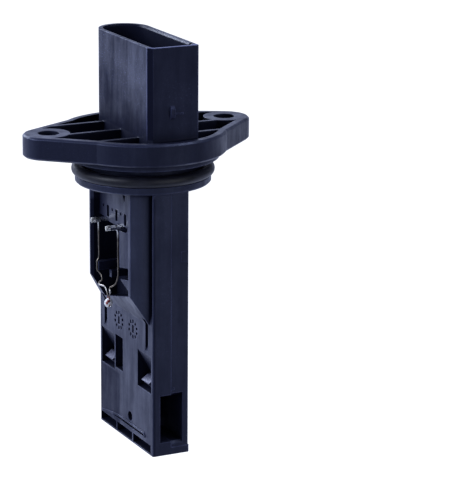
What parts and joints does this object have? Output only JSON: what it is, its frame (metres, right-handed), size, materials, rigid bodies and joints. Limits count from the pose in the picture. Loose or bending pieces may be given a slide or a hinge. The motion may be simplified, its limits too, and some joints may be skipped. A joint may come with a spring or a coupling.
{
  "type": "mass airflow sensor",
  "caption": "Plug-in mass airflow sensor: flat measuring probe with an air duct, a wire-held temperature bead, a sealed collar, a bolt flange and an open plug shroud.",
  "frame": {"origin": "on the axis of the round collar, in the plane of the flange underside", "axes": "+Z out of the duct towards the plug, X along the line of the bolt holes, air enters on the -Y side, the temperature bead faces -X"},
  "size_m": [0.0646, 0.0446, 0.1103],
  "materials": {
    "housing_plastic": "moulded dark slate, faint flow streaks",
    "cover_plastic": "moulded dark slate",
    "seal_rubber": "smooth black rubber",
    "board_laminate": "green laminate",
    "adhesive": "cured grey adhesive",
    "carrier_ceramic": "unglazed pale ceramic",
    "chip_black": "black moulding compound",
    "bond_gel": "glossy black drop",
    "capacitor_body": "tan ceramic",
    "pin_metal": "tin plated",
    "terminal_metal": "tin plated",
    "wire_metal": "bright drawn wire",
    "bead_glass": "clear fused glass",
    "bead_core": "dark red sintered element"
  },
  "bodies": {
    "root": {"housing": "housing_plastic", "rear_cover": "cover_plastic", "o_ring": "seal_rubber", "circuit_board": "board_laminate", "board_adhesive": "adhesive", "seam_adhesive": "adhesive", "sensor_carrier": "carrier_ceramic", "sensor_chip": "chip_black", "bond_cover": "bond_gel", "signal_chip": "chip_black", "regulator": "chip_black", "capacitor_a": "capacitor_body", "capacitor_b": "capacitor_body", "capacitor_c": "capacitor_body", "bead_terminal_left": "terminal_metal", "bead_terminal_right": "terminal_metal", "bead_wire_left": "wire_metal", "bead_wire_right": "wire_metal", "bead_glass": "bead_glass", "bead_core": "bead_core", "plug_pin_1": "pin_metal", "plug_pin_2": "pin_metal", "plug_pin_3": "pin_metal", "plug_pin_4": "pin_metal", "plug_pin_5": "pin_metal"}
  },
  "joints": []
}
